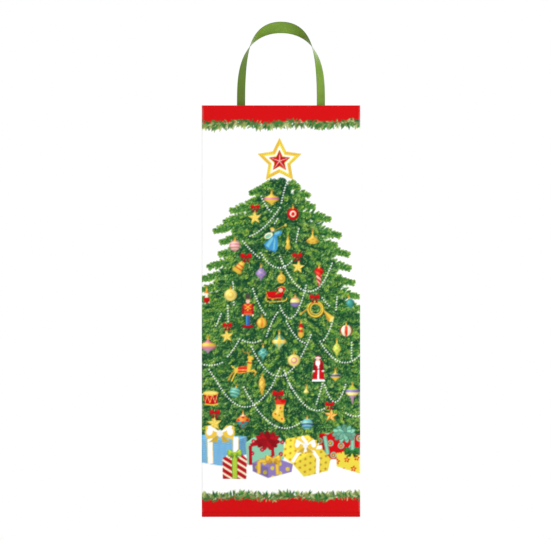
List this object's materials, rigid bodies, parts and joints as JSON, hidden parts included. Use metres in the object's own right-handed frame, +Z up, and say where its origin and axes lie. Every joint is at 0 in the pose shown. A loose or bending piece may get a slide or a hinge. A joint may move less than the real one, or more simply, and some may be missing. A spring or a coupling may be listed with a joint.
{
  "type": "wine gift bag",
  "caption": "Tall printed paper gift bag for one bottle, with gusseted sides that fold flat, a board base and two twisted ribbon handles.",
  "frame": {"origin": "centre of the bag's footprint on the surface it stands on", "axes": "+Z up to the mouth and handles, -Y out of the front panel, +X to the right seen from the front"},
  "size_m": [0.127, 0.089, 0.3971],
  "materials": {
    "printed_paper": "coated white paper with a four-colour print, satin laminate",
    "red_paper": "coated paper printed solid red, satin laminate",
    "paper_back": "uncoated white back of the sheet",
    "board": "raw grey board",
    "ribbon": "woven satin ribbon, moss green"
  },
  "bodies": {
    "base": {"front_bottom_flap": "red_paper", "back_bottom_flap": "red_paper", "left_bottom_flap": "red_paper", "right_bottom_flap": "red_paper", "base_card": "board"},
    "back_foot": {"back_foot": "printed_paper"},
    "back": {"back_panel": "printed_paper", "seam_tab": "paper_back", "back_hem": "red_paper", "back_hem_board": "board", "back_ribbon_end_left": "ribbon", "back_ribbon_end_right": "ribbon"},
    "front": {"front_panel": "printed_paper", "front_hem": "red_paper", "front_hem_board": "board", "front_ribbon_end_left": "ribbon", "front_ribbon_end_right": "ribbon"},
    "front_handle": {"front_ribbon_handle": "ribbon"},
    "back_handle": {"back_ribbon_handle": "ribbon"},
    "left_rear_gusset": {"left_rear_gusset": "printed_paper", "left_rear_gusset_hem": "red_paper"},
    "left_front_gusset": {"left_front_gusset": "printed_paper", "left_front_gusset_hem": "red_paper"},
    "left_base_triangle": {"left_base_triangle": "printed_paper"},
    "left_rear_triangle": {"left_rear_triangle": "printed_paper"},
    "right_rear_gusset": {"right_rear_gusset": "printed_paper", "right_rear_gusset_hem": "red_paper"},
    "right_front_gusset": {"right_front_gusset": "printed_paper", "right_front_gusset_hem": "red_paper"},
    "right_base_triangle": {"right_base_triangle": "printed_paper"},
    "right_rear_triangle": {"right_rear_triangle": "printed_paper"}
  },
  "joints": [
    {"name": "fold", "type": "hinge", "parent": "base", "child": "back_foot", "pos_m": [0, 0.0442, 0.0036], "axis": [1, 0, 0], "range_deg": [0, 88], "deforming": ["front_ribbon_end_left", "front_ribbon_end_right", "back_ribbon_end_left", "back_ribbon_end_right"]},
    {"name": "back_crease", "type": "hinge", "parent": "back_foot", "child": "back", "pos_m": [0, 0.0445, 0.0445], "axis": [1, 0, 0], "range_deg": [-176, 0]},
    {"name": "left_rear_corner", "type": "hinge", "parent": "back", "child": "left_rear_gusset", "pos_m": [-0.0625, 0.0425, 0.165], "axis": [0, 0, 1], "range_deg": [0, 88]},
    {"name": "left_gusset_crease", "type": "hinge", "parent": "left_rear_gusset", "child": "left_front_gusset", "pos_m": [-0.0635, 0, 0.165], "axis": [0, 0, 1], "range_deg": [-176, 0]},
    {"name": "left_base_crease", "type": "hinge", "parent": "base", "child": "left_base_triangle", "pos_m": [-0.0632, 0, 0.0027], "axis": [0, 1, 0], "range_deg": [0, 90]},
    {"name": "left_foot_corner", "type": "hinge", "parent": "back_foot", "child": "left_rear_triangle", "pos_m": [-0.0632, 0.0442, 0.024], "axis": [0, 0, 1], "range_deg": [0, 90], "deforming": ["left_rear_triangle"]},
    {"name": "right_rear_corner", "type": "hinge", "parent": "back", "child": "right_rear_gusset", "pos_m": [0.0625, 0.0425, 0.165], "axis": [0, 0, -1], "range_deg": [0, 88]},
    {"name": "right_gusset_crease", "type": "hinge", "parent": "right_rear_gusset", "child": "right_front_gusset", "pos_m": [0.0635, 0, 0.165], "axis": [0, 0, -1], "range_deg": [-176, 0]},
    {"name": "right_base_crease", "type": "hinge", "parent": "base", "child": "right_base_triangle", "pos_m": [0.0632, 0, 0.0027], "axis": [0, -1, 0], "range_deg": [0, 90]},
    {"name": "right_foot_corner", "type": "hinge", "parent": "back_foot", "child": "right_rear_triangle", "pos_m": [0.0632, 0.0442, 0.024], "axis": [0, 0, -1], "range_deg": [0, 90], "deforming": ["right_rear_triangle"]},
    {"name": "right_front_corner", "type": "hinge", "parent": "right_front_gusset", "child": "front", "pos_m": [0.0625, -0.0425, 0.165], "axis": [0, 0, -1], "range_deg": [0, 88]},
    {"name": "front_handle_bend", "type": "hinge", "parent": "front", "child": "front_handle", "pos_m": [0, -0.0445, 0.33], "axis": [1, 0, 0], "range_deg": [-33, 175], "stiffness_Nm_per_rad": 0.004, "deforming": ["front_ribbon_handle"]},
    {"name": "back_handle_bend", "type": "hinge", "parent": "back", "child": "back_handle", "pos_m": [0, 0.0445, 0.33], "axis": [-1, 0, 0], "range_deg": [-33, 175], "stiffness_Nm_per_rad": 0.004, "deforming": ["back_ribbon_handle"]}
  ],
  "couplings": [
    {"joint": "back_crease", "follows": "fold", "ratio": -2},
    {"joint": "left_rear_corner", "follows": "fold", "ratio": 1},
    {"joint": "left_gusset_crease", "follows": "fold", "ratio": -2},
    {"joint": "left_base_crease", "follows": "fold", "ratio": 1.02},
    {"joint": "left_foot_corner", "follows": "fold", "ratio": 1.02},
    {"joint": "right_rear_corner", "follows": "fold", "ratio": 1},
    {"joint": "right_gusset_crease", "follows": "fold", "ratio": -2},
    {"joint": "right_base_crease", "follows": "fold", "ratio": 1.02},
    {"joint": "right_foot_corner", "follows": "fold", "ratio": 1.02},
    {"joint": "right_front_corner", "follows": "fold", "ratio": 1}
  ]
}
